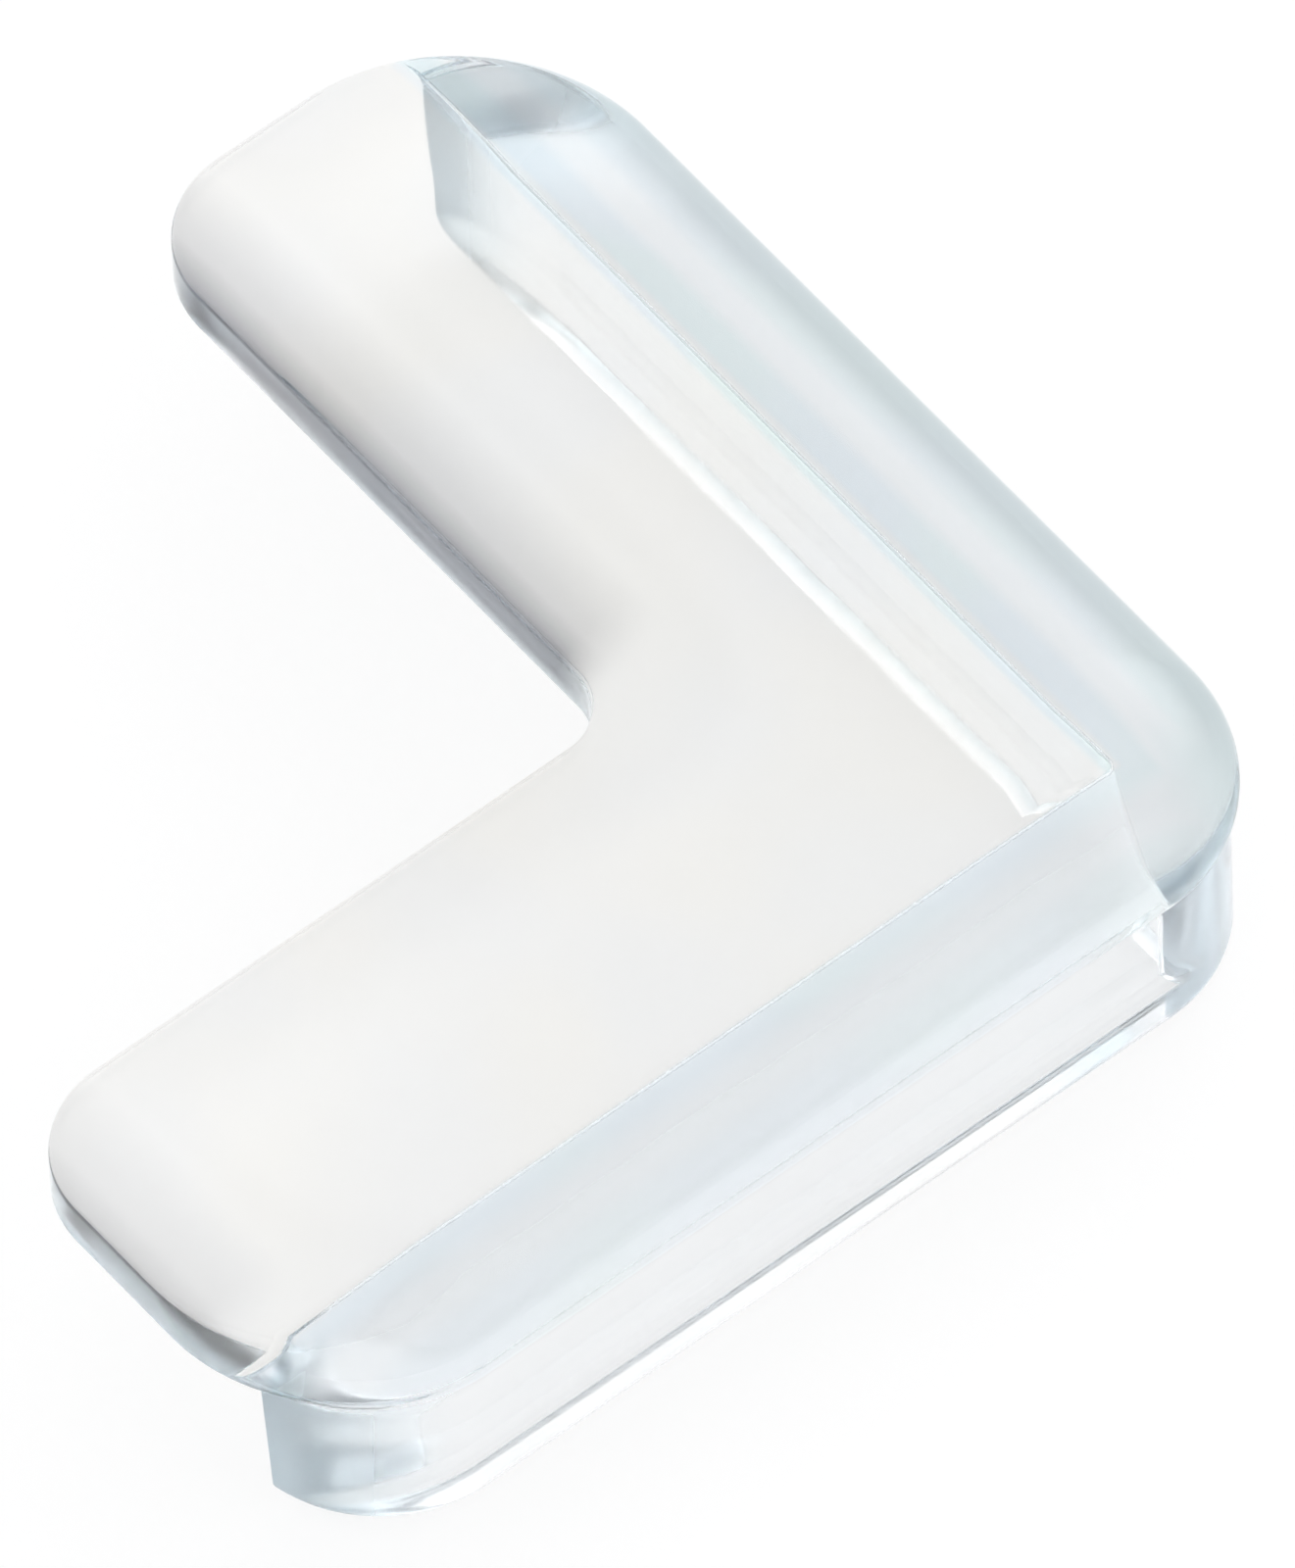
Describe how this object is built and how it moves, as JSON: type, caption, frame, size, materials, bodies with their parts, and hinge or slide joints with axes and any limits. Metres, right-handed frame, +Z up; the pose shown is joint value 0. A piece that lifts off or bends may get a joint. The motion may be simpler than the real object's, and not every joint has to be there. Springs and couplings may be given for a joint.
{
  "type": "furniture corner protector",
  "caption": "Clear soft L-shaped corner protector: a rounded flange for the table top over a wall that covers both edge faces.",
  "frame": {"origin": "middle of the bounding box in plan, at the height of the wall's lower edge, on which the part stands", "axes": "+Z up, out of the table top; the outer corner of the L points to -X -Y, and the arms run along +X and +Y"},
  "size_m": [0.055, 0.055, 0.0153],
  "materials": {
    "clear_plastic": "glossy, clear, faintly blue-green"
  },
  "bodies": {
    "root": {"corner_guard": "clear_plastic"}
  },
  "joints": []
}
